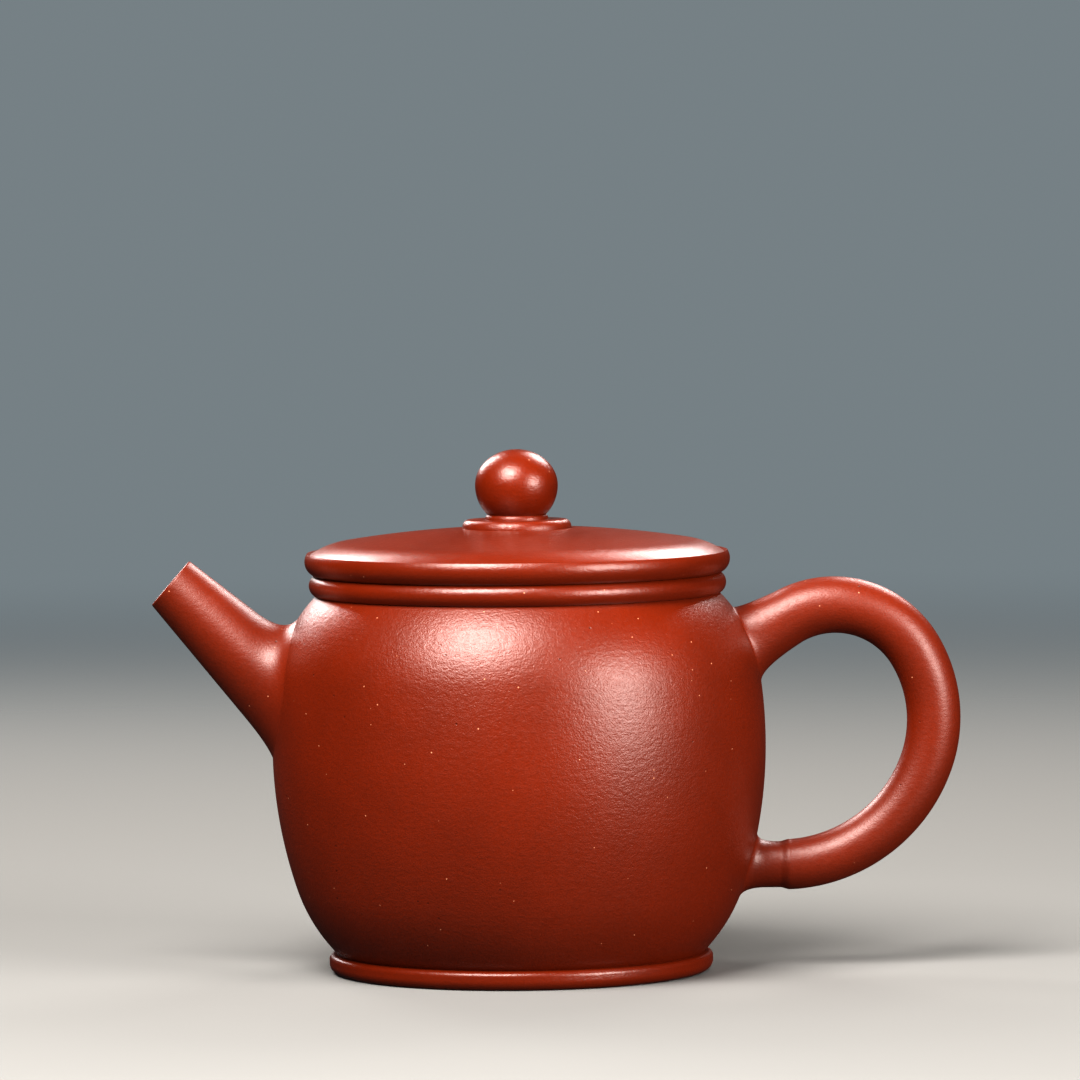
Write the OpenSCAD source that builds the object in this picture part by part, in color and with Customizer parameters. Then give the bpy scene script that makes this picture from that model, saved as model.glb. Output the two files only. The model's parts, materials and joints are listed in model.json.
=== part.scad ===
// Small round clay teapot with a lift-off lid, in millimetres.
// The origin is on the pot's own axis, in the plane that the foot stands on.
// +Z is up, the spout points to -X and the handle to +X.

/* [Body] */
// Diameter of the belly where it is widest
body_d = 79.4; // [70:0.1:90]
// Height of the widest part of the belly above the table
belly_z = 36.6; // [34:0.1:38]
// Radius of the long curve of the belly below its widest part
belly_low_r = 73; // [60:1:90]
// Radius of the long curve of the belly above its widest part
belly_up_r = 77; // [60:1:90]
// Radius of the curve that turns the belly in to the foot
heel_r = 27; // [22:1:32]
// Radius of the curve that turns the belly in to the neck
shoulder_r = 22.8; // [21:0.1:26]
// Thickness of the clay wall
wall_t = 2.5; // [1.8:0.1:3]
// Height where the wall ends and the shoulder disc begins
shoulder_z = 57.2; // [55:0.1:58]
// Thickness of the base disc
base_t = 2.7; // [2:0.1:4]

/* [Foot] */
// Outer diameter of the foot ring
foot_d = 61.8; // [56:0.1:64]
// Height of the foot ring
foot_h = 3.1; // [2:0.1:4]
// Width of the foot ring's clay
foot_w = 3.6; // [2.5:0.1:5]

/* [Mouth] */
// Diameter of the mouth that the lid drops into
mouth_d = 56.8; // [48:0.1:58]
// Outer diameter of the bead around the mouth
neck_d = 67.1; // [66.5:0.1:68]
// Height of the plane that the lid rests on
seat_z = 64.1; // [63.5:0.1:65]
// Height of the shoulder disc's flat top
neck_z = 60.8; // [60:0.1:61.5]

/* [Lid] */
// Outer diameter of the rim line around the lid
lid_d = 68.4; // [67.5:0.1:70]
// Height of the lid's crown above the plane it rests on
lid_rise = 7.5; // [6.5:0.1:9]
// Radius of the lid's shallow dome
dome_r = 180; // [150:1:260]
// Depth of the flange below the plane that the lid rests on
flange_depth = 8.8; // [6:0.1:12]
// Thickness of the flange's clay
flange_t = 2.4; // [1.8:0.1:3]
// Gap all round between the flange and the mouth
flange_gap = 0.4; // [0.2:0.1:1]

/* [Knob] */
// Diameter of the ball
knob_d = 13.3; // [10:0.1:16]
// Height of the ball above its widest part
knob_crown = 5.8; // [4.5:0.1:6.6]
// Diameter of the thin disc under the knob
knob_seat_d = 17.6; // [14:0.1:20]
// Diameter of the collar between the disc and the ball
collar_d = 10.2; // [9.8:0.1:11]
// Diameter of the steam hole down through the knob
vent_d = 1.6; // [1:0.1:2.5]

/* [Spout] */
// Distance from the pot's axis to the middle of the spout's mouth
tip_reach = 55.9; // [52:0.1:60]
// Height of the middle of the spout's mouth
tip_z = 63.2; // [60:0.1:66]
// Angle of the spout's mouth from level
tip_tilt = 49; // [40:1:60]
// Outer diameter of the spout at its mouth
tip_d = 9.4; // [8.8:0.1:11]
// Thickness of the spout's lip
lip_t = 1; // [0.8:0.1:1.2]
// Height of the middle of the spout's root on the belly
spout_root_z = 45.9; // [42:0.1:48]
// Diameter of the spout's cone where it reaches the belly
spout_root_d = 17.7; // [16:0.1:20]
// How far the root spreads over the belly past the cone
spout_flare = 2.3; // [1:0.1:3]
// Diameter of the ball strainer inside the spout's root
strainer_d = 15; // [12:0.5:15]
// Diameter of the strainer's holes
strainer_hole_d = 1.8; // [1:0.1:2.2]

/* [Handle] */
// Distance from the pot's axis to the start of the handle's first curve
handle_x = 43.5; // [43:0.1:45]
// Height of the start of the handle's first curve
handle_z = 56.6; // [56:0.1:58]
// Rise of the handle where it leaves the shoulder, in degrees
handle_rise = 29; // [26:1:32]
// Radius of the handle's top curve
top_curve_r = 15.1; // [14:0.1:17]
// Turn of the handle's top curve, in degrees
top_curve_turn = 89; // [85:1:92]
// Radius of the handle's back curve
back_curve_r = 21.5; // [20:0.1:23]
// Turn of the handle's back curve, in degrees
back_curve_turn = 51; // [48:1:54]
// Radius of the handle's lower curve
low_curve_r = 24.7; // [23:0.1:26]
// Thickness of the handle at its upper root
handle_top_d = 9.2; // [8:0.1:10]
// Thickness of the handle at its lower end
handle_low_d = 8.1; // [7:0.1:8.6]
// Distance from the pot's axis to the joint of the handle and its stub
stub_x = 43.4; // [42.6:0.1:44]
// Thickness of the stub at its joint with the handle
stub_d = 7.8; // [6.8:0.1:8]

/* [Hidden] */
$fn = 96;

clay = [0.60, 0.22, 0.13];
dark_clay = [0.52, 0.18, 0.11];
Y = [0, 1, 0];

// The body's outline is four arcs that run into each other without a corner.
// Each is a circle's centre [radius from the axis, height] and its radius.
body_r = body_d / 2;
heel_turn = 18.4;
shoulder_turn = 8.6;
belly_low = [[body_r - belly_low_r, belly_z], belly_low_r];
belly_up = [[body_r - belly_up_r, belly_z], belly_up_r];
heel_start = belly_low[0] + belly_low_r * [cos(heel_turn), -sin(heel_turn)];
shoulder_start = belly_up[0] + belly_up_r * [cos(shoulder_turn), sin(shoulder_turn)];
heel = [heel_start - heel_r * [cos(heel_turn), -sin(heel_turn)], heel_r];
shoulder = [shoulder_start - shoulder_r * [cos(shoulder_turn), sin(shoulder_turn)], shoulder_r];

// Clay parts near the bottom and the mouth.
base_z = foot_h;
base_top = base_z + base_t;
disc_t = 2.5;
mouth_r = mouth_d / 2;
flange_r = mouth_r - flange_gap;

// The lid's dome meets the table side of the lid in flat faces.
plate_t = 1.9;
plate_z = seat_z + plate_t;
rim_r = lid_d / 2;
crown_z = seat_z + lid_rise;
dome_t = 2.6;
inner_dome_r = dome_r - dome_t;
knob_base_z = crown_z - dome_r + sqrt(pow(dome_r, 2) - pow(knob_seat_d / 2, 2));
edge_r = 11.5;
edge_in = 0.95;
edge_w = 4.8;
dome_turn = asin((rim_r - edge_in - edge_w) / dome_r);
edge_turn = asin(sin(dome_turn) + edge_w / edge_r);
dome_c = [0, crown_z - dome_r];
edge_c = dome_c + (dome_r - edge_r) * [sin(dome_turn), cos(dome_turn)];
dome_edge = edge_c + edge_r * [sin(edge_turn), cos(edge_turn)];
rebate_z = dome_edge[1] - 0.4;
rebate_r = rim_r - 3.4;
seat_disc_t = 1.4;
collar_t = 0.8;
collar_z = knob_base_z + seat_disc_t;
ball_base_z = collar_z + collar_t;
ball_r = knob_d / 2;
neck_turn = 45;
ball_z = ball_base_z + ball_r * sin(neck_turn);

// Parts luted on to the belly are built of rings with this many points.
ring_points = 36;

// The handle's middle line: three curves that run into each other, each a list of [point, heading].
curve_steps = 12;
handle_start = [[handle_x, 0, handle_z], handle_rise];
top_curve = [for (k = [0:curve_steps]) turned(handle_start, top_curve_r, top_curve_turn * k / curve_steps)];
top_end = top_curve[curve_steps];
back_curve = [for (k = [1:curve_steps]) turned(top_end, back_curve_r, back_curve_turn * k / curve_steps)];
back_end = back_curve[curve_steps - 1];
handle_end_round = 0.3;
low_c_x = back_end[0][0] + low_curve_r * sin(back_end[1]);
low_turn = back_end[1] + 180 - asin((stub_x + handle_end_round - low_c_x) / low_curve_r);
low_curve = [for (k = [1:curve_steps]) turned(back_end, low_curve_r, low_turn * k / curve_steps)];
handle_line = concat(top_curve, back_curve, low_curve);
stub_z = low_curve[curve_steps - 1][0][2];

// Points of an arc about c, from angle a to angle b.
function arc(c, r, a, b, n = 8) =
    [for (i = [0:n]) c + r * [cos(a + (b - a) * i / n), sin(a + (b - a) * i / n)]];

// A rounded edge, w wide and h high, that is widest, at radius r, at its foot at height z.
function round_edge(r, z, w, h, n = 8) =
    [for (i = [0:n]) let (a = 90 * i / n) [r - w + w * cos(a), z + h * sin(a)]];

// Radius of one arc of the body at height z.
function on_arc(a, z) = a[0][0] + sqrt(a[1] * a[1] - pow(z - a[0][1], 2));

// Outer radius of the body at height z.
function body_radius(z) =
    z < heel_start[1] ? on_arc(heel, z)
    : z < belly_z ? on_arc(belly_low, z)
    : z < shoulder_start[1] ? on_arc(belly_up, z)
    : on_arc(shoulder, z);

// Outline of the body from height a to height b, set in by t.
function body_line(a, b, t = 0, n = 24) =
    [for (i = [0:n]) let (z = a + (b - a) * i / n) [body_radius(z) - t, z]];

// A line's [point, heading] after it turns right by a on a circle of radius r.
function turned(from, r, a) = let (h = from[1], c = from[0] + r * [sin(h), 0, -cos(h)])
    [c + r * [-sin(h - a), 0, cos(h - a)], h - a];

// A ring of points about c in the plane of u and Y.
function ring(c, u, r) =
    [for (i = [0:ring_points - 1]) let (a = 360 * i / ring_points) c + r * (cos(a) * u + sin(a) * Y)];

// A ring of points on the belly, height * 2 tall and width * 2 wide. side is -1 or 1.
function footprint(side, z, height, width) =
    [for (i = [0:ring_points - 1])
        let (a = 360 * i / ring_points, y = width * sin(a), h = z + height * cos(a))
        [side * sqrt(pow(body_radius(h), 2) - y * y), y, h]];

// The point of ring a that lies d from the same point of ring b.
function back_off(a, b, d) =
    [for (i = [0:len(a) - 1]) b[i] + d * (a[i] - b[i]) / norm(a[i] - b[i])];

// Rings of a soft concave root: from free, towards bare, and out along the belly to spread.
function root_rings(free, bare, spread, n = 5) =
    [for (k = [1:n]) let (w = k / n)
        [for (i = [0:len(free) - 1])
            (1 - w) * (1 - w) * free[i] + 2 * w * (1 - w) * bare[i] + w * w * spread[i]]];

// Smaller and smaller footprints, so that a solid root's end face follows the belly.
function root_face(side, z, height, width) =
    [for (k = [0.7, 0.4, 0.1]) footprint(side, z, k * height, k * width)];

// A solid skinned over a list of rings. closed joins the last ring to the first, as in a tube.
module skin(rings, closed = false) {
    n = len(rings[0]);
    m = len(rings);
    sides = [for (k = [0:m - (closed ? 1 : 2)], i = [0:n - 1])
        let (j = (i + 1) % n, q = (k + 1) % m)
        each [[k * n + i, q * n + i, q * n + j], [k * n + i, q * n + j, k * n + j]]];
    ends = closed ? [] : [[for (i = [0:n - 1]) i], [for (i = [n - 1:-1:0]) (m - 1) * n + i]];
    polyhedron(points = [for (r = rings) each r], faces = concat(sides, ends), convexity = 6);
}

module vent(z0, z1) {
    translate([0, 0, z0 - 1]) cylinder(d = vent_d, h = z1 - z0 + 2);
}

// ---- Pot ----

module body_wall() {
    color(clay) difference() {
        rotate_extrude() polygon(concat(
            body_line(base_top, shoulder_z),
            body_line(shoulder_z, base_top, wall_t)));
        translate([-body_r - 2, 0, spout_root_z])
            rotate([0, 90, 0]) cylinder(d = strainer_d, h = body_r / 2);
    }
}

// A disc that closes the bottom of the wall.
module base_disc() {
    color(clay) rotate_extrude()
        polygon(concat([[0, base_z]], body_line(base_z, base_top, 0, 4), [[0, base_top]]));
}

module foot_ring() {
    r = foot_d / 2;
    inner_r = r - foot_w;
    low_round = 1.6;
    top_round = 0.9;
    color(clay) rotate_extrude() polygon(concat(
        arc([r - low_round, low_round], low_round, -90, 0),
        arc([r - top_round, foot_h - top_round], top_round, 0, 90),
        [[inner_r, foot_h], [inner_r, 0.4], [inner_r + 0.4, 0]]));
}

// The disc that closes the top of the wall, with the mouth cut in it.
module shoulder_disc() {
    color(clay) rotate_extrude() polygon(concat(
        [[body_radius(shoulder_z) - wall_t, shoulder_z]],
        body_line(shoulder_z, neck_z, 0, 6),
        [[mouth_r, neck_z], [mouth_r, neck_z - disc_t]]));
}

// The bead around the mouth, with the flat top that the lid rests on.
module neck_ring() {
    bead_r = 1.9;
    mid_z = (neck_z + seat_z) / 2;
    half = asin((seat_z - neck_z) / 2 / bead_r);
    color(clay) rotate_extrude() polygon(concat(
        [[mouth_r, neck_z]],
        arc([neck_d / 2 - bead_r, mid_z], bead_r, -half, half, 10),
        [[mouth_r + 0.3, seat_z], [mouth_r, seat_z - 0.3]]));
}

module spout() {
    up = [cos(tip_tilt), 0, sin(tip_tilt)];
    inward = [sin(tip_tilt), 0, -cos(tip_tilt)];
    tip = [-tip_reach, 0, tip_z];
    lip_round = 0.35;
    flare_length = 5.5;
    r = spout_root_d / 2;
    bore_r = strainer_d / 2;
    lip = ring(tip, up, tip_d / 2 - lip_round);
    mouth = ring(tip + lip_round * inward, up, tip_d / 2);
    bare = footprint(-1, spout_root_z, r, r - 0.2);
    spread = footprint(-1, spout_root_z, r + spout_flare, r + spout_flare - 0.2);
    free = back_off(mouth, bare, flare_length);
    bore_mouth = ring(tip, up, tip_d / 2 - lip_t);
    // The root's end face follows the belly from the bore out to the edge of the flare.
    end_face = [for (k = [0, 1 / 3, 2 / 3])
        footprint(-1, spout_root_z, bore_r + k * (r + spout_flare - bore_r),
                  bore_r + k * (r + spout_flare - 0.2 - bore_r))];
    color(clay) skin(concat([bore_mouth], end_face, [spread], root_rings(spread, bare, free), [mouth, lip]),
                     closed = true);
}

// A pierced half ball that stands in the wall's opening and keeps the leaves back.
module strainer_dome() {
    shell_t = 1.2;
    collar_h = 1.6;
    r = strainer_d / 2;
    // Each row is [angle from the middle of the dome, number of holes].
    hole_rows = [[20, 5], [44, 10], [68, 15]];
    seat_x = 1.4 - body_radius(spout_root_z);
    color(dark_clay) translate([seat_x, 0, spout_root_z]) rotate([0, 90, 0]) difference() {
        union() {
            cylinder(r = r, h = collar_h);
            translate([0, 0, collar_h]) sphere(r = r - 0.1);
        }
        translate([0, 0, collar_h]) sphere(r = r - shell_t);
        translate([0, 0, -1]) cylinder(r = r - shell_t, h = collar_h + 1);
        translate([0, 0, -2 * r]) cylinder(r = 2 * r, h = 2 * r);
        for (row = hole_rows, i = [0:row[1] - 1])
            translate([0, 0, collar_h]) rotate([0, row[0], 360 * (i + 0.5) / row[1]])
                translate([0, 0, r - shell_t - 0.7]) cylinder(d = strainer_hole_d, h = shell_t + 2);
    }
}

module handle() {
    last = len(handle_line) - 1;
    taper = (handle_low_d - handle_top_d) / 2;
    top_r = handle_top_d / 2;
    // The handle slopes down to the belly, so its root is lower than its first curve and oval.
    bare_z = handle_z - 3.6;
    spread_z = handle_z - 4.3;
    root_h = top_r + 1.5;
    root_w = top_r + 1;
    end_rings = [for (a = [90:-22.5:0])
        ring([stub_x + handle_end_round * (1 - sin(a)), 0, stub_z], [0, 0, -1],
             handle_low_d / 2 - handle_end_round * (1 - cos(a)))];
    grip_rings = [for (k = [last:-1:0]) let (h = handle_line[k][1])
        ring(handle_line[k][0], [-sin(h), 0, cos(h)], top_r + taper * k / last)];
    bare = footprint(1, bare_z, top_r + 0.2, top_r);
    spread = footprint(1, spread_z, root_h, root_w);
    color(clay) skin(concat(end_rings, grip_rings, root_rings(grip_rings[last], bare, spread),
                            root_face(1, spread_z, root_h, root_w)));
}

// The short lug on the belly that the handle's lower end is joined to. It narrows a little behind
// its end face, to a shallow waist, and spreads at its root.
module handle_stub() {
    waist_in = 0.2;
    waist_x = stub_x - 1.2;
    flare_length = 3.8;
    end_r = stub_d / 2;
    r = end_r - waist_in;
    root_h = r + 1.7;
    root_w = r + 1.5;
    end_rings = [for (a = [0:22.5:90])
        ring([waist_x + (stub_x - waist_x) * cos(a), 0, stub_z], [0, 0, 1], end_r - waist_in * sin(a))];
    bare = footprint(1, stub_z, r, r);
    spread = footprint(1, stub_z, root_h, root_w);
    free = back_off(end_rings[4], bare, flare_length);
    color(clay) skin(concat(end_rings, [free], root_rings(free, bare, spread),
                            root_face(1, stub_z, root_h, root_w)));
}

// ---- Lid ----

// The ring under the lid that drops into the mouth and keeps the lid in place.
module lid_flange() {
    edge = 0.6;
    low_z = seat_z - flange_depth;
    color(clay) rotate_extrude() polygon([
        [flange_r - flange_t, low_z + edge], [flange_r - flange_t + edge, low_z],
        [flange_r - edge, low_z], [flange_r, low_z + edge],
        [flange_r, plate_z], [flange_r - flange_t, plate_z]]);
}

// The flat ring that rests on the mouth, with the rounded line around its edge.
module lid_rim() {
    bead_r = 2.4;
    bead_h = 2.2;
    inner_r = flange_r + 0.3;
    color(clay) rotate_extrude() polygon(concat(
        [[inner_r, seat_z]],
        arc([rim_r - bead_r, seat_z + bead_h], bead_r, -asin(bead_h / bead_r), 33, 12),
        [dome_edge, [dome_edge[0], rebate_z], [rebate_r, rebate_z], [rebate_r, plate_z], [inner_r, plate_z]]));
}

// The shallow dome, which sits in the rim and is dished below.
module lid_dome() {
    dish_r = flange_r - flange_t - 0.4;
    dish_turn = asin((dish_r - 1) / inner_dome_r);
    color(clay) difference() {
        rotate_extrude() polygon(concat(
            [[0, knob_base_z], [knob_seat_d / 2, knob_base_z]],
            arc(dome_c, dome_r, 90 - asin(knob_seat_d / 2 / dome_r), 90 - dome_turn, 10),
            arc(edge_c, edge_r, 90 - dome_turn, 90 - edge_turn, 8),
            [[dome_edge[0], rebate_z], [rebate_r, rebate_z], [rebate_r, plate_z], [dish_r, plate_z]],
            arc(dome_c, inner_dome_r, 90 - dish_turn, 90, 10)));
        vent(plate_z, crown_z);
    }
}

// A thin disc under the knob, with an edge that rounds over to its top.
module knob_seat() {
    round_w = 1;
    color(clay) difference() {
        rotate_extrude() polygon(concat(
            [[0, knob_base_z]],
            round_edge(knob_seat_d / 2, knob_base_z, round_w, seat_disc_t),
            [[0, collar_z]]));
        vent(knob_base_z, collar_z);
    }
}

module knob_collar() {
    round_w = 0.5;
    color(clay) difference() {
        rotate_extrude() polygon(concat(
            [[0, collar_z]],
            round_edge(collar_d / 2, collar_z, round_w, collar_t),
            [[0, ball_base_z]]));
        vent(collar_z, ball_base_z);
    }
}

// A ball, a little flat on top, that stands on a cut-off lower end.
module knob() {
    color(clay) difference() {
        rotate_extrude() polygon(concat(
            [[0, ball_base_z]],
            arc([0, ball_z], ball_r, -neck_turn, 0, 10),
            [for (a = [6:6:90]) [ball_r * cos(a), ball_z + knob_crown * sin(a)]]));
        vent(ball_base_z, ball_z + knob_crown);
    }
}

body_wall();
base_disc();
foot_ring();
shoulder_disc();
neck_ring();
spout();
strainer_dome();
handle();
handle_stub();
lid_flange();
lid_rim();
lid_dome();
knob_seat();
knob_collar();
knob();
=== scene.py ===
"""The looks of a small red clay teapot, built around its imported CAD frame.

The axes are the frame's: +Z is up, the spout points to -X, the handle to +X, and the origin is on the
pot's axis in the plane that it stands on. Sizes are in millimetres until new_mesh() makes them metres.
"""

import json
import math

import bmesh
import bpy
import numpy as np
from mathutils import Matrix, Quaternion, Vector


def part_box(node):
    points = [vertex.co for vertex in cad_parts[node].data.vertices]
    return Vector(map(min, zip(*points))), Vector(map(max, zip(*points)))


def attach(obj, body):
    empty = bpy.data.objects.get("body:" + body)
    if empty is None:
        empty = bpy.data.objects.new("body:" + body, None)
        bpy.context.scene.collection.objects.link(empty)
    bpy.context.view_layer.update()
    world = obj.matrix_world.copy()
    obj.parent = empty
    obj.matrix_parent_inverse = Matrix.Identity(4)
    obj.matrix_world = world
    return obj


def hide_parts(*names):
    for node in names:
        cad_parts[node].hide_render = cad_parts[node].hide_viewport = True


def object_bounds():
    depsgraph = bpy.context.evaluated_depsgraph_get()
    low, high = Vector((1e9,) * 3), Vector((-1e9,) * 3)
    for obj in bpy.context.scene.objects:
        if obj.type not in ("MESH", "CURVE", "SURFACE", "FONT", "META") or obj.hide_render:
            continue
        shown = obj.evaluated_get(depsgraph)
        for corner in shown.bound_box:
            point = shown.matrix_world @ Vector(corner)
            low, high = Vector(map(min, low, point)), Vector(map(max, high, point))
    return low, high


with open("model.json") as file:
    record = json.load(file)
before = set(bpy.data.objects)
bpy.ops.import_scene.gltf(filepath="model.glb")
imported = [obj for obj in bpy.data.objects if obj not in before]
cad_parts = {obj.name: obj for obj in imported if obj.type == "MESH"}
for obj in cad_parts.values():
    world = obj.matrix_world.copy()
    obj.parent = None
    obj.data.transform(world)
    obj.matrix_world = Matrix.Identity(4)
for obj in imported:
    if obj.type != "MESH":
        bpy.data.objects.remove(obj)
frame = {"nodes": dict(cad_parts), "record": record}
cad_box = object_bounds()
BODY_OF = {node: body for body, nodes in frame["record"]["behaviour"]["bodies"].items() for node in nodes}

MM = 0.001
TURNED_POINTS = 288  # points round the pot's axis
TUBE_POINTS = 96  # points round the spout and the handle
SLIVER = 0.000002  # metres; a shorter edge is left over from a cut
SHARP_ANGLE = 32  # degrees; a sharper edge stays an edge, a blunter one is shaded smooth
Y_AXIS = np.array([0.0, 1.0, 0.0])


# ---- Sizes, read from the frame where a box gives them ----


def low(node, axis):
    """The lowest x, y or z of a node's box."""
    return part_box(node)[0]["xyz".index(axis)] / MM


def high(node, axis):
    """The highest x, y or z of a node's box."""
    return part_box(node)[1]["xyz".index(axis)] / MM


BASE_Z = low("base_disc", "z")
BASE_TOP = high("base_disc", "z")
SHOULDER_Z = high("body_wall", "z")
NECK_Z = high("shoulder_disc", "z")
SEAT_Z = high("neck_ring", "z")
NECK_R = high("neck_ring", "y")
BELLY_R = high("body_wall", "y")
FOOT_R = high("foot_ring", "y")
FOOT_H = high("foot_ring", "z")
FLANGE_R = high("lid_flange", "y")
FLANGE_LOW = low("lid_flange", "z")
PLATE_Z = high("lid_flange", "z")
RIM_R = high("lid_rim", "y")
DOME_EDGE_R = high("lid_dome", "y")
DISC_Z = low("knob_seat", "z")
DISC_R = high("knob_seat", "y")
COLLAR_Z = high("knob_seat", "z")
COLLAR_R = high("knob_collar", "y")
BALL_LOW = low("knob", "z")
BALL_R = high("knob", "y")
BALL_TOP = high("knob", "z")

WALL = 2.5
DISC_THICK = 2.5
MOUTH_R = FLANGE_R + 0.4
VENT_R = 0.8


# ---- Outlines and rings ----


def on_circle(centre, radius, angle):
    """The point of a circle at an angle in degrees."""
    a = math.radians(angle)
    return centre[0] + radius * math.cos(a), centre[1] + radius * math.sin(a)


def arc(centre, radius, start, end, steps):
    """Points of an arc, from angle start to angle end."""
    return [on_circle(centre, radius, start + (end - start) * i / steps) for i in range(steps + 1)]


# The body's outline is four arcs that run into each other: the heel, the two long curves of the belly
# and the shoulder. Each is a centre, a radius and the lowest height that it covers.
BELLY_Z = 36.6
LOW_R, LOW_TURN = 73.0, 18.4
UP_R, UP_TURN = 77.0, 8.6
HEEL_R = 27.0
SHOULDER_R = 22.8
low_centre = (BELLY_R - LOW_R, BELLY_Z)
up_centre = (BELLY_R - UP_R, BELLY_Z)
heel_end = on_circle(low_centre, LOW_R, -LOW_TURN)
shoulder_start = on_circle(up_centre, UP_R, UP_TURN)
heel_centre = on_circle(heel_end, -HEEL_R, -LOW_TURN)
shoulder_centre = on_circle(shoulder_start, -SHOULDER_R, UP_TURN)
BODY_ARCS = [
    (heel_centre, HEEL_R, 0.0),
    (low_centre, LOW_R, heel_end[1]),
    (up_centre, UP_R, BELLY_Z),
    (shoulder_centre, SHOULDER_R, shoulder_start[1]),
]


def body_radius(z):
    """Outer radius of the body at the heights z."""
    z = np.asarray(z, float)
    radius = np.zeros_like(z)
    for centre, r, lowest in BODY_ARCS:
        offset = np.clip(z - centre[1], -r, r)
        radius = np.where(z >= lowest, centre[0] + np.sqrt(r * r - offset * offset), radius)
    return radius


def body_line(start, end, inset=0.0, step=0.5):
    """The body's outline between two heights. Its last steps are tiny, so that the shading of the
    next piece runs on from it without a line."""
    tiny = 0.02 * np.sign(end - start)
    count = max(2, round(abs(end - start) / step))
    heights = [start, *np.linspace(start + tiny, end - tiny, count), end]
    return [(float(body_radius(z)) - inset, z) for z in heights]


def ring(centre, up, radius):
    """Points of a circle in the plane of up and Y."""
    a = np.linspace(0, 2 * math.pi, TUBE_POINTS, endpoint=False)[:, None]
    return np.asarray(centre) + radius * (np.cos(a) * np.asarray(up) + np.sin(a) * Y_AXIS)


def footprint(side, z, half_height, half_width, proud=0.0):
    """A ring of points on the belly, or proud of it. side is -1 at the spout and 1 at the handle."""
    a = np.linspace(0, 2 * math.pi, TUBE_POINTS, endpoint=False)
    y = half_width * np.sin(a)
    h = z + half_height * np.cos(a)
    x = side * np.sqrt((body_radius(h) + proud) ** 2 - y * y)
    return np.stack([x, y, h], axis=1)


def back_off(a, b, distance):
    """The points of ring a's side of ring b, at a distance from b."""
    way = a - b
    return b + distance * way / np.linalg.norm(way, axis=1)[:, None]


def between(a, b, count):
    """Rings spaced evenly from a to b, without either of them."""
    return [a + (b - a) * k / (count + 1) for k in range(1, count + 1)]


def curve_rings(free, bare, spread, count=28):
    """Rings of a soft hollow root: from free, towards bare and out along the belly to spread."""
    weights = [k / count for k in range(1, count + 1)]
    return [(1 - w) ** 2 * free + 2 * w * (1 - w) * bare + w * w * spread for w in weights]


# ---- Meshes ----


def turn(outline):
    """Vertices and faces of a closed outline of (radius, height), turned about the pot's axis."""
    a = np.linspace(0, 2 * math.pi, TURNED_POINTS, endpoint=False)
    vertices, rows = [], []
    for radius, z in outline:
        first = len(vertices)
        if radius == 0:
            vertices.append((0.0, 0.0, z))
            rows.append([first] * TURNED_POINTS)
        else:
            vertices += [(radius * math.cos(t), radius * math.sin(t), z) for t in a]
            rows.append(list(range(first, first + TURNED_POINTS)))
    return np.array(vertices), faces_between(rows, closed=True)


def skin(rings, closed):
    """Vertices and faces of a tube of rings. An open tube's ends are closed by flat fans."""
    rings = list(rings)
    if not closed:
        rings = [rings[0].mean(0, keepdims=True), *rings, rings[-1].mean(0, keepdims=True)]
    vertices, rows = [], []
    for points in rings:
        first = sum(len(v) for v in vertices)
        vertices.append(points)
        single = len(points) == 1
        rows.append([first] * TUBE_POINTS if single else list(range(first, first + TUBE_POINTS)))
    return np.concatenate(vertices), faces_between(rows, closed)


def faces_between(rows, closed):
    """Faces that join each row of vertex numbers to the next. A row at a pole repeats one number."""
    faces = []
    last = len(rows) if closed else len(rows) - 1
    for k in range(last):
        a, b = rows[k], rows[(k + 1) % len(rows)]
        for i in range(len(a)):
            j = (i + 1) % len(a)
            corners = list(dict.fromkeys((a[i], b[i], b[j], a[j])))
            if len(corners) > 2:
                faces.append(corners)
    return faces


def new_mesh(name, shape):
    """A mesh of a shape's vertices and faces, with its faces turned outwards."""
    vertices, faces = shape
    mesh = bpy.data.meshes.new(name)
    mesh.from_pydata((vertices * MM).tolist(), [], faces)
    tidy = bmesh.new()
    tidy.from_mesh(mesh)
    bmesh.ops.recalc_face_normals(tidy, faces=tidy.faces)
    tidy.to_mesh(mesh)
    tidy.free()
    return mesh


def cut_from(mesh, shape):
    """The mesh with a shape cut out of it."""
    body = bpy.data.objects.new("body", mesh)
    cutter = bpy.data.objects.new("cutter", new_mesh("cutter", shape))
    for thing in (body, cutter):
        bpy.context.scene.collection.objects.link(thing)
    cut = body.modifiers.new("cut", "BOOLEAN")
    cut.operation = "DIFFERENCE"
    cut.solver = "EXACT"
    cut.object = cutter
    done = bpy.data.meshes.new_from_object(body.evaluated_get(bpy.context.evaluated_depsgraph_get()))
    for thing in (body, cutter):
        bpy.data.objects.remove(thing)
    # The cut leaves slivers where the two shapes' points nearly meet.
    clean = bmesh.new()
    clean.from_mesh(done)
    bmesh.ops.dissolve_degenerate(clean, dist=SLIVER, edges=clean.edges)
    clean.to_mesh(done)
    clean.free()
    return done


def add_piece(node, mesh, material):
    """A smooth piece that stands for a CAD node and moves with its body."""
    mesh.polygons.foreach_set("use_smooth", [True] * len(mesh.polygons))
    mesh.set_sharp_from_angle(angle=math.radians(SHARP_ANGLE))
    mesh.materials.append(material)
    piece = bpy.data.objects.new(node + "_clay", mesh)
    bpy.context.scene.collection.objects.link(piece)
    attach(piece, BODY_OF[node])
    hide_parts(node)


# ---- Clay ----


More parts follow.
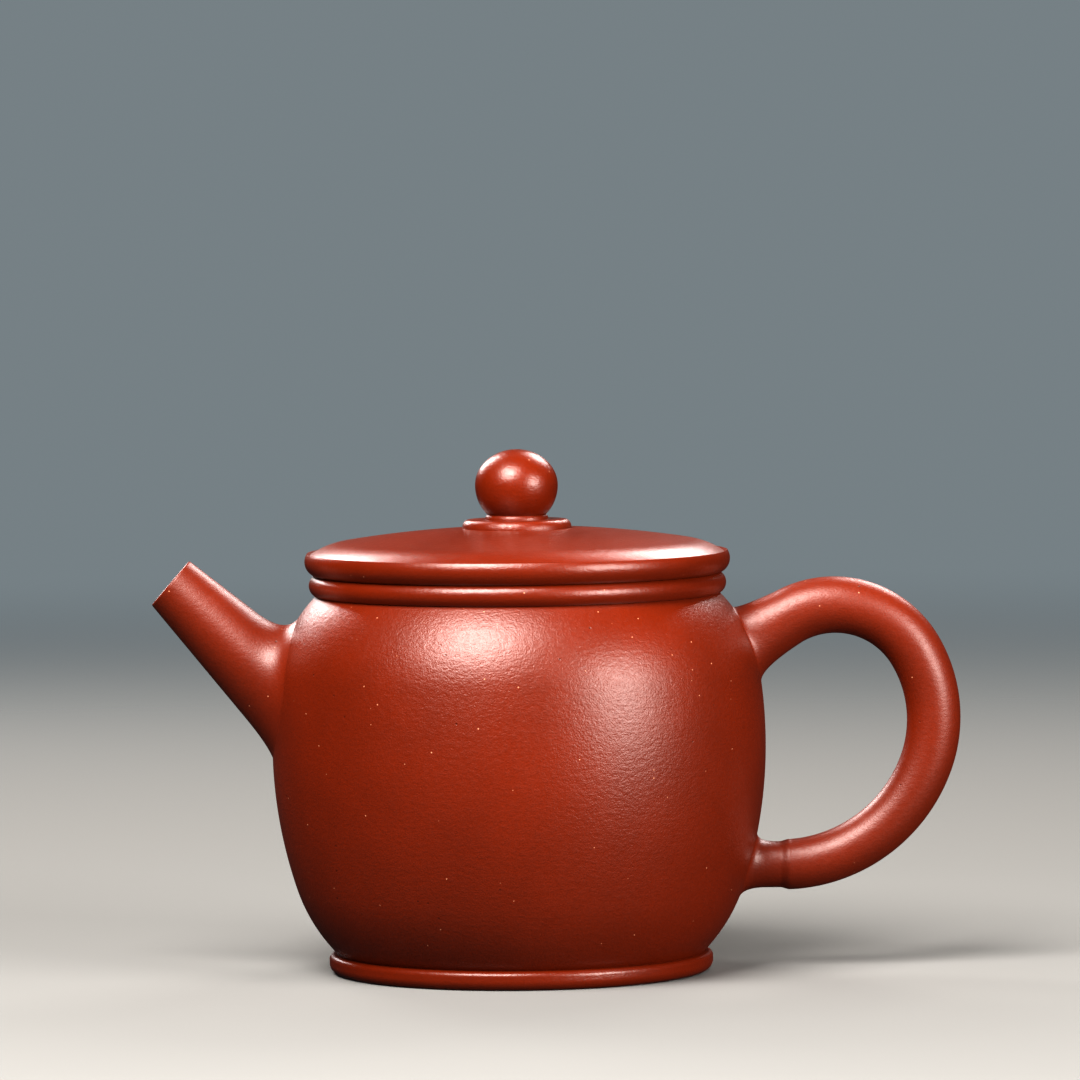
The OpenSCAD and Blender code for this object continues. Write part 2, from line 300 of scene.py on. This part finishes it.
class Finish:
    """Builds one material node by node."""

    def __init__(self, name):
        self.material = bpy.data.materials.new(name)
        self.material.use_nodes = True
        self.nodes = self.material.node_tree.nodes
        self.links = self.material.node_tree.links
        self.shader = self.nodes["Principled BSDF"]
        self.place = self.nodes.new("ShaderNodeTexCoord").outputs["Object"]

    def node(self, kind, inputs, **settings):
        """A node with its settings and inputs. An input is a value or another node's output."""
        made = self.nodes.new(kind)
        for key, value in settings.items():
            setattr(made, key, value)
        for key, value in inputs.items():
            if isinstance(value, bpy.types.NodeSocket):
                self.links.new(value, made.inputs[key])
            else:
                made.inputs[key].default_value = value
        return made

    def noise(self, scale, detail=3.0, roughness=0.55, place=None):
        """Noise with features of about 1 / scale metres, 0 to 1."""
        inputs = {"Vector": place or self.place, "Scale": scale, "Detail": detail, "Roughness": roughness}
        return self.node("ShaderNodeTexNoise", inputs).outputs["Fac"]

    def stretched_noise(self, scale):
        """Noise with a scale of its own along each axis."""
        mapped = self.node("ShaderNodeMapping", {"Vector": self.place, "Scale": scale})
        return self.noise(1.0, place=mapped.outputs[0])

    def band(self, value, start, end, low_value=0.0, high_value=1.0):
        """value from start to end, mapped smoothly to low_value to high_value."""
        inputs = {0: value, 1: start, 2: end, 3: low_value, 4: high_value}
        return self.node("ShaderNodeMapRange", inputs, interpolation_type="SMOOTHSTEP").outputs[0]

    def math(self, operation, a, b):
        """Two values added, multiplied or compared."""
        return self.node("ShaderNodeMath", {0: a, 1: b}, operation=operation).outputs[0]

    def mix(self, factor, a, b):
        """Colour a where factor is 0 and b where it is 1."""
        inputs = {"Factor": factor, 6: a, 7: b}
        return self.node("ShaderNodeMix", inputs, data_type="RGBA").outputs[2]

    def dots(self, scale, share, size):
        """Sparse round dots, 1 at their middles. share is how many cells hold one, size is 0 to 0.5."""
        cells = self.node("ShaderNodeTexVoronoi", {"Vector": self.place, "Scale": scale})
        pick = self.node("ShaderNodeSeparateColor", {0: cells.outputs["Color"]}).outputs[0]
        chosen = self.math("GREATER_THAN", pick, 1 - share)
        return self.math("MULTIPLY", chosen, self.band(cells.outputs["Distance"], size, size * 0.4))

    def bump(self, height, depth, under=None):
        """A bump of a height map, depth metres deep, on top of another."""
        inputs = {"Height": height, "Distance": depth, "Strength": 1.0}
        if under is not None:
            inputs["Normal"] = under
        return self.node("ShaderNodeBump", inputs).outputs["Normal"]


# The scales are features to a metre, and the depths are metres. The skin's dimples are a little flatter
# than round, and the wheel's lines are long and level.
CLOUD_SCALE = 45.0
SAND_SCALE = 3600.0
SPECK_SCALE = 950.0
PIT_SCALE = 620.0
PEEL_SCALE = (1050, 1050, 1700)
LINE_SCALE = (30, 30, 1400)
SAND_SHARE = 0.8
LINE_DEPTH = 0.000010
PIT_DEPTH = 0.00004
UNEVEN_GLOSS = 0.03

# Linear colours. The clay's highlights are faintly warm.
PALE_SAND = (0.62, 0.30, 0.17, 1)
RED_CLAY = (0.136, 0.0128, 0.0003, 1)
MATT_CLAY = (0.20, 0.022, 0.005, 1)
HIGHLIGHT_TINT = (1.0, 0.95, 0.91, 1)


def scaled(colour, amount):
    """A colour made darker or paler."""
    return (*[c * amount for c in colour[:3]], 1)


def clay(name, colour, gloss, skin_depth, from_wheel):
    """Fired clay with sand in it. gloss is the roughness of its burnished skin and skin_depth the depth
    of its dimples in metres. Clay from the wheel has faint level lines from the tool that smoothed it."""
    made = Finish(name)
    clouds = made.noise(CLOUD_SCALE)
    sand = made.noise(SAND_SCALE, detail=2.0, roughness=0.6)
    peel = made.stretched_noise(PEEL_SCALE)
    specks = made.dots(SPECK_SCALE, share=0.05, size=0.15)
    pits_with_painted_shade = made.dots(PIT_SCALE, share=0.05, size=0.15)

    shade = made.mix(made.band(clouds, 0.3, 0.7), scaled(colour, 0.88), scaled(colour, 1.06))
    shade = made.mix(made.band(sand, 0.35, 0.75, 0.0, 0.30), shade, scaled(colour, 0.5))
    shade = made.mix(made.math("MULTIPLY", specks, 0.7), shade, PALE_SAND)
    # The pits are small dents in the skin, and their dark colour is painted shade inside the dents.
    shade = made.mix(made.math("MULTIPLY", pits_with_painted_shade, 0.6), shade, scaled(colour, 0.2))
    made.links.new(shade, made.shader.inputs["Base Color"])

    normal = made.bump(peel, skin_depth)
    normal = made.bump(sand, skin_depth * SAND_SHARE, normal)
    if from_wheel:
        normal = made.bump(made.stretched_noise(LINE_SCALE), LINE_DEPTH, normal)
    normal = made.bump(made.math("MULTIPLY", pits_with_painted_shade, -1.0), PIT_DEPTH, normal)
    made.links.new(normal, made.shader.inputs["Normal"])

    uneven = made.band(peel, 0.25, 0.75, -UNEVEN_GLOSS, UNEVEN_GLOSS)
    rough = made.math("ADD", uneven, gloss)
    made.links.new(rough, made.shader.inputs["Roughness"])
    made.shader.inputs["Specular IOR Level"].default_value = 0.5
    made.shader.inputs["Specular Tint"].default_value = HIGHLIGHT_TINT
    return made.material


body_clay = clay("body_clay", RED_CLAY, gloss=0.36, skin_depth=0.00006, from_wheel=True)
turned_clay = clay("turned_clay", RED_CLAY, gloss=0.32, skin_depth=0.00004, from_wheel=True)
rolled_clay = clay("rolled_clay", RED_CLAY, gloss=0.41, skin_depth=0.000035, from_wheel=False)
matt_clay = clay("matt_clay", MATT_CLAY, gloss=0.62, skin_depth=0.00010, from_wheel=True)


# ---- Pot ----


def body_wall():
    outline = body_line(BASE_TOP, SHOULDER_Z) + body_line(SHOULDER_Z, BASE_TOP, inset=WALL, step=1.2)
    return turn(outline)


def spout_opening():
    """The round opening through the wall that the strainer sits in."""
    outside, inside = -BELLY_R - 2, -BELLY_R / 2
    ends = [ring((x, 0.0, SPOUT_ROOT_Z), (0.0, 0.0, 1.0), SPOUT_BORE_R) for x in (outside, inside)]
    return skin(ends, closed=False)


def base_disc():
    return turn([(0, BASE_Z), *body_line(BASE_Z, BASE_TOP), (0, BASE_TOP)])


def foot_ring():
    low_round, top_round, foot_w, inner_round = 1.6, 0.9, 3.6, 0.4
    inner_r = FOOT_R - foot_w
    outline = arc((FOOT_R - low_round, low_round), low_round, -90, 0, 14)
    outline += arc((FOOT_R - top_round, FOOT_H - top_round), top_round, 0, 90, 10)
    outline += [(inner_r, FOOT_H)]
    outline += arc((inner_r + inner_round, inner_round), inner_round, 180, 270, 6)
    return turn(outline)


def shoulder_disc():
    outline = [(float(body_radius(SHOULDER_Z)) - WALL, SHOULDER_Z), *body_line(SHOULDER_Z, NECK_Z)]
    outline += [(MOUTH_R, NECK_Z), (MOUTH_R, NECK_Z - DISC_THICK)]
    return turn(outline)


def neck_ring():
    bead_r, edge = 1.9, 0.3
    middle = (NECK_Z + SEAT_Z) / 2
    half = math.degrees(math.asin((SEAT_Z - NECK_Z) / 2 / bead_r))
    outline = [(MOUTH_R, NECK_Z), *arc((NECK_R - bead_r, middle), bead_r, -half, half, 28)]
    outline += arc((MOUTH_R + edge, SEAT_Z - edge), edge, 90, 180, 6)
    return turn(outline)


# The spout is a straight cone with a tilted mouth. Its root spreads on to the belly in a soft curve.
SPOUT_TILT = 49.0
SPOUT_ROOT_Z = 45.9
SPOUT_BORE_R = 7.5
SPOUT_CONE_R = 8.85
SPOUT_MOUTH_R = 4.7
SPOUT_FLARE = 2.3
SPOUT_FLARE_LENGTH = 5.5
SPOUT_NARROWER = 0.2
SPOUT_CREASE = 0.9
SPOUT_STEPS = 30
LIP = 1.0
tilt = math.radians(SPOUT_TILT)
mouth_up = np.array([math.cos(tilt), 0.0, math.sin(tilt)])
mouth_in = np.array([math.sin(tilt), 0.0, -math.cos(tilt)])


def lip_rings(tip, radius, curl, steps=6):
    """Rings of a quarter-round edge of the mouth, from its face inwards. curl is the rounding's
    radius, above zero for the outer edge and below it for the inner one."""
    rings = []
    for k in range(steps + 1):
        a = math.radians(90 * k / steps)
        centre = tip + abs(curl) * (1 - math.cos(a)) * mouth_in
        rings.append(ring(centre, mouth_up, radius - curl * (1 - math.sin(a))))
    return rings


def spout():
    lip_round = 0.35
    edge_r = SPOUT_MOUTH_R - lip_round
    # The round edge of the mouth touches the left side and the top of the spout's box.
    edge_centre = np.array([
        low("spout", "x") + lip_round + edge_r * mouth_up[0],
        0.0,
        high("spout", "z") - lip_round - edge_r * mouth_up[2],
    ])
    tip = edge_centre - lip_round * mouth_in
    outer_lip = lip_rings(tip, SPOUT_MOUTH_R, lip_round)
    inner_lip = lip_rings(tip, SPOUT_MOUTH_R - LIP, -lip_round)
    wide = SPOUT_CONE_R + SPOUT_FLARE
    # The curve is aimed a little off the belly, so that the root meets it in a fine crease.
    cone_w, wide_w = SPOUT_CONE_R - SPOUT_NARROWER, wide - SPOUT_NARROWER
    bare = footprint(-1, SPOUT_ROOT_Z, SPOUT_CONE_R, cone_w, proud=SPOUT_CREASE)
    spread = footprint(-1, SPOUT_ROOT_Z, wide, wide_w)
    free = back_off(outer_lip[-1], bare, SPOUT_FLARE_LENGTH)
    bore = footprint(-1, SPOUT_ROOT_Z, SPOUT_BORE_R, SPOUT_BORE_R)
    rings = [*reversed(inner_lip), *outer_lip, *between(outer_lip[-1], free, SPOUT_STEPS), free]
    rings += [*curve_rings(free, bare, spread), *between(spread, bore, 6)]
    rings += [bore, *between(bore, inner_lip[-1], SPOUT_STEPS)]
    return skin(rings, closed=True)


# The handle's middle line is three curves that run into each other. Each is a radius and the angle that
# it turns through, and the last runs on to the stub.
HANDLE_START = np.array([43.5, 0.0, 56.6])
HANDLE_RISE = 29.0
HANDLE_CURVES = [(15.1, 89.0), (21.5, 51.0), (24.7, None)]
HANDLE_TOP_R, HANDLE_LOW_R = 4.6, 4.05
HANDLE_END_STRAIGHT = 0.3
STUB_X = high("handle_stub", "x")


def turned(point, heading, radius, angle):
    """A point and its heading after it turns right by an angle on a circle."""
    a, b = math.radians(heading), math.radians(heading - angle)
    centre = point + radius * np.array([math.sin(a), 0.0, -math.cos(a)])
    return centre + radius * np.array([-math.sin(b), 0.0, math.cos(b)]), heading - angle


def handle_line(steps=70):
    """Points and headings along the handle's middle line, from its upper root to its lower end."""
    line = [(HANDLE_START, HANDLE_RISE)]
    for radius, angle in HANDLE_CURVES:
        point, heading = line[-1]
        if angle is None:
            centre_x = point[0] + radius * math.sin(math.radians(heading))
            reach = (STUB_X + HANDLE_END_STRAIGHT - centre_x) / radius
            angle = heading + 180 - math.degrees(math.asin(reach))
        line += [turned(point, heading, radius, angle * k / steps) for k in range(1, steps + 1)]
    return line


HANDLE_LINE = handle_line()
STUB_Z = HANDLE_LINE[-1][0][2]


def root_face(z, half_height, half_width):
    """Ever smaller rings on the belly that close a root's hidden face."""
    return [footprint(1, z, half_height * k, half_width * k) for k in (0.7, 0.4, 0.1)]


def handle():
    last = len(HANDLE_LINE) - 1
    grip = []
    for k, (point, heading) in enumerate(HANDLE_LINE):
        a = math.radians(heading)
        radius = HANDLE_TOP_R + (HANDLE_LOW_R - HANDLE_TOP_R) * k / last
        grip.append(ring(point, (-math.sin(a), 0.0, math.cos(a)), radius))
    end = ring((STUB_X, 0.0, STUB_Z), (0.0, 0.0, -1.0), HANDLE_LOW_R)
    # The handle slopes down to the belly, so its root is lower than its first curve and oval.
    bare_z, root_z = HANDLE_START[2] - 3.6, HANDLE_START[2] - 4.3
    root_h, root_w = HANDLE_TOP_R + 1.5, HANDLE_TOP_R + 1.0
    bare = footprint(1, bare_z, HANDLE_TOP_R + 0.2, HANDLE_TOP_R)
    spread = footprint(1, root_z, root_h, root_w)
    face = root_face(root_z, root_h, root_w)
    return skin([end, *reversed(grip), *curve_rings(grip[0], bare, spread), *face], closed=False)


def handle_stub():
    """The short lug on the belly that the handle's lower end is joined to. It runs on from the handle,
    narrows to a shallow waist and spreads at its root."""
    waist_in, waist_w, flare_length, steps = 0.35, 1.7, 3.6, 12
    end = []
    for k in range(steps + 1):
        x = STUB_X - waist_w * k / steps
        dip = waist_in * (1 - math.cos(math.pi * k / steps)) / 2
        end.append(ring((x, 0.0, STUB_Z), (0.0, 0.0, 1.0), HANDLE_LOW_R - dip))
    waist_r = HANDLE_LOW_R - waist_in
    root_h, root_w = waist_r + 1.7, waist_r + 1.5
    bare = footprint(1, STUB_Z, waist_r, waist_r)
    spread = footprint(1, STUB_Z, root_h, root_w)
    free = back_off(end[-1], bare, flare_length)
    face = root_face(STUB_Z, root_h, root_w)
    return skin([*end, free, *curve_rings(free, bare, spread), *face], closed=False)


# ---- Lid ----

# The lid's top is a shallow dome that turns down to the rim in a tighter curve.
DOME_CURVE_R = 180.0
EDGE_CURVE_R, EDGE_W = 11.5, 4.8
DOME_THICK = 2.6
FLANGE_THICK = 2.4
dome_centre = (0.0, DISC_Z - math.sqrt(DOME_CURVE_R**2 - DISC_R**2))
dome_turn = math.degrees(math.asin((DOME_EDGE_R - EDGE_W) / DOME_CURVE_R))
edge_turn = math.degrees(math.asin(math.sin(math.radians(dome_turn)) + EDGE_W / EDGE_CURVE_R))
edge_centre = on_circle(dome_centre, DOME_CURVE_R - EDGE_CURVE_R, 90 - dome_turn)
dome_edge = on_circle(edge_centre, EDGE_CURVE_R, 90 - edge_turn)
REBATE_R, REBATE_Z = RIM_R - 3.4, dome_edge[1] - 0.4


def lid_flange():
    edge = 0.6
    inner_r = FLANGE_R - FLANGE_THICK
    outline = [(FLANGE_R, PLATE_Z), (inner_r, PLATE_Z)]
    outline += arc((inner_r + edge, FLANGE_LOW + edge), edge, 180, 270, 8)
    outline += arc((FLANGE_R - edge, FLANGE_LOW + edge), edge, 270, 360, 8)
    return turn(outline)


def lid_rim():
    bead_r, bead_h, inner_r = 2.4, 2.2, FLANGE_R + 0.3
    start, end = -math.degrees(math.asin(bead_h / bead_r)), 33
    outline = [(inner_r, SEAT_Z), *arc((RIM_R - bead_r, SEAT_Z + bead_h), bead_r, start, end, 36)]
    outline += [dome_edge, (dome_edge[0], REBATE_Z), (REBATE_R, REBATE_Z)]
    outline += [(REBATE_R, PLATE_Z), (inner_r, PLATE_Z)]
    return turn(outline)


def lid_dome():
    dish_r = FLANGE_R - FLANGE_THICK - 0.4
    inner_r = DOME_CURVE_R - DOME_THICK
    dish_turn = math.degrees(math.asin((dish_r - 1) / inner_r))
    vent_turn = math.degrees(math.asin(VENT_R / inner_r))
    disc_turn = math.degrees(math.asin(DISC_R / DOME_CURVE_R))
    outline = [(VENT_R, DISC_Z), *arc(dome_centre, DOME_CURVE_R, 90 - disc_turn, 90 - dome_turn, 50)]
    outline += arc(edge_centre, EDGE_CURVE_R, 90 - dome_turn, 90 - edge_turn, 24)[1:]
    outline += [(dome_edge[0], REBATE_Z), (REBATE_R, REBATE_Z), (REBATE_R, PLATE_Z), (dish_r, PLATE_Z)]
    outline += arc(dome_centre, inner_r, 90 - dish_turn, 90 - vent_turn, 40)
    return turn(outline)


def round_edge(radius, start, end, width, steps=16):
    """A rounded edge between two heights, widest at its foot and narrower by width at its top."""
    points = []
    for k in range(steps + 1):
        a = math.radians(90 * k / steps)
        points.append((radius - width * (1 - math.cos(a)), start + (end - start) * math.sin(a)))
    return points


def knob_seat():
    edge = round_edge(DISC_R, DISC_Z, COLLAR_Z, width=1.0)
    return turn([(VENT_R, DISC_Z), *edge, (VENT_R, COLLAR_Z)])


def knob_collar():
    edge = round_edge(COLLAR_R, COLLAR_Z, BALL_LOW, width=0.5)
    return turn([(VENT_R, COLLAR_Z), *edge, (VENT_R, BALL_LOW)])


def knob():
    """A ball, a little flat on top, that stands on a cut-off lower end."""
    neck_turn, steps = 45, 60
    middle = BALL_LOW + BALL_R * math.sin(math.radians(neck_turn))
    crown = BALL_TOP - middle
    last = math.degrees(math.acos(VENT_R / BALL_R))
    outline = [(VENT_R, BALL_LOW), *arc((0, middle), BALL_R, -neck_turn, 0, 30)]
    for k in range(1, steps + 1):
        a = math.radians(last * k / steps)
        outline.append((BALL_R * math.cos(a), middle + crown * math.sin(a)))
    return turn(outline)


# ---- Assembly ----

add_piece("body_wall", cut_from(new_mesh("body_wall", body_wall()), spout_opening()), body_clay)
for make in (base_disc, shoulder_disc, knob_seat, knob_collar):
    add_piece(make.__name__, new_mesh(make.__name__, make()), body_clay)
for make in (foot_ring, neck_ring, lid_rim, lid_dome, knob):
    add_piece(make.__name__, new_mesh(make.__name__, make()), turned_clay)
for make in (spout, handle, handle_stub):
    add_piece(make.__name__, new_mesh(make.__name__, make()), rolled_clay)
add_piece("lid_flange", new_mesh("lid_flange", lid_flange()), matt_clay)
strainer = frame["nodes"]["strainer_dome"]
strainer.data.materials.clear()
strainer.data.materials.append(matt_clay)


# ---- Room, lights and camera ----


def floor_paint():
    """Pale matt paint that fades out far from the pot, so that the floor has no edge to be seen."""
    made = Finish("floor_paint")
    paint, fade_from, fade_to = (0.20, 0.192, 0.18, 1), 0.20, 1.1
    made.shader.inputs["Base Color"].default_value = paint
    made.shader.inputs["Roughness"].default_value = 0.9
    made.shader.inputs["Specular IOR Level"].default_value = 0.0
    reach = made.node("ShaderNodeVectorMath", {0: made.place}, operation="LENGTH").outputs["Value"]
    clear = made.node("ShaderNodeBsdfTransparent", {})
    fade = made.node("ShaderNodeMixShader", {0: made.band(reach, fade_from, fade_to)})
    made.links.new(made.shader.outputs[0], fade.inputs[1])
    made.links.new(clear.outputs[0], fade.inputs[2])
    made.links.new(fade.outputs[0], made.nodes["Material Output"].inputs["Surface"])
    return made.material


def add_floor():
    mesh = bpy.data.meshes.new("floor")
    grid = bmesh.new()
    bmesh.ops.create_grid(grid, x_segments=8, y_segments=8, size=1.7)
    grid.to_mesh(mesh)
    grid.free()
    mesh.materials.append(floor_paint())
    floor = bpy.data.objects.new("floor", mesh)
    bpy.context.scene.collection.objects.link(floor)
    # The floor is much paler than a table would be, so the glossy clay doesn't mirror it.
    floor.visible_glossy = False


MIDDLE = (Vector(cad_box[0]) + Vector(cad_box[1])) / 2


def softbox(name, azimuth, elevation, distance, size, power):
    """A lit panel that faces the pot. Azimuth 0 is in front and 90 is on the handle's side. The
    distance and the size are in metres and the power is in watts."""
    a, e = math.radians(azimuth), math.radians(elevation)
    way = Vector((math.sin(a) * math.cos(e), -math.cos(a) * math.cos(e), math.sin(e)))
    light = bpy.data.lights.new(name, "AREA")
    light.shape = "RECTANGLE"
    light.size, light.size_y = size
    light.energy = power
    lamp = bpy.data.objects.new(name, light)
    lamp.location = MIDDLE + way * distance
    lamp.rotation_mode = "QUATERNION"
    lamp.rotation_quaternion = way.to_track_quat("Z", "Y")
    bpy.context.scene.collection.objects.link(lamp)
    return lamp


def add_fill(lid_top):
    """The low fill light. The level top of the lid would mirror the whole panel to a view from behind,
    so it is lit by a panel of its own that nothing mirrors."""
    panel = {"azimuth": 49, "elevation": 16, "distance": 0.75, "size": (0.33, 0.38), "power": 10.5}
    fill = softbox("fill", **panel)
    lid_fill = softbox("lid_fill", **panel)
    lid_fill.visible_glossy = False
    for lamp, state in ((fill, "EXCLUDE"), (lid_fill, "INCLUDE")):
        lit = bpy.data.collections.new(lamp.name + "_lights")
        lit.objects.link(lid_top)
        lit.collection_objects[0].light_linking.link_state = state
        lamp.light_linking.receiver_collection = lit


def add_world():
    """A dim room behind a paler plain backdrop. The backdrop is only seen, and lights nothing."""
    room_colour, backdrop_colour = (0.030, 0.033, 0.035, 1), (0.27, 0.31, 0.33, 1)
    world = bpy.data.worlds.new("studio")
    world.use_nodes = True
    nodes, links = world.node_tree.nodes, world.node_tree.links
    dim = nodes["Background"]
    dim.inputs["Color"].default_value = room_colour
    seen = nodes.new("ShaderNodeBackground")
    seen.inputs["Color"].default_value = backdrop_colour
    ray = nodes.new("ShaderNodeLightPath")
    pick = nodes.new("ShaderNodeMixShader")
    links.new(ray.outputs["Is Camera Ray"], pick.inputs[0])
    links.new(dim.outputs[0], pick.inputs[1])
    links.new(seen.outputs[0], pick.inputs[2])
    links.new(pick.outputs[0], nodes["World Output"].inputs["Surface"])
    bpy.context.scene.world = world


def add_camera():
    """Looks a little down on the pot, from far off, so that it is drawn with little perspective."""
    distance, height, roll, lens = 1.25, 0.139, -0.6, 259.6
    aim = Vector((0.0037, 0.0, 0.0694))
    camera = bpy.data.cameras.new("camera")
    camera.sensor_width = 36
    camera.lens = lens
    stand = bpy.data.objects.new("camera", camera)
    stand.location = (0.0, -distance, height)
    way = Vector(stand.location) - aim
    stand.rotation_mode = "QUATERNION"
    stand.rotation_quaternion = way.to_track_quat("Z", "Y")
    stand.rotation_quaternion = stand.rotation_quaternion @ Quaternion((0, 0, 1), math.radians(roll))
    bpy.context.scene.collection.objects.link(stand)
    bpy.context.scene.camera = stand


add_floor()
add_world()
softbox("key", azimuth=-27, elevation=50, distance=0.70, size=(0.40, 0.44), power=19)
add_fill(bpy.data.objects["lid_dome_clay"])
softbox("rim_left", azimuth=-150, elevation=30, distance=0.75, size=(0.22, 0.38), power=4.3)
softbox("rim_right", azimuth=154, elevation=37, distance=0.75, size=(0.28, 0.28), power=3.6)
add_camera()
bpy.context.scene.view_settings.view_transform = "Standard"
bpy.context.scene.view_settings.gamma = 0.76
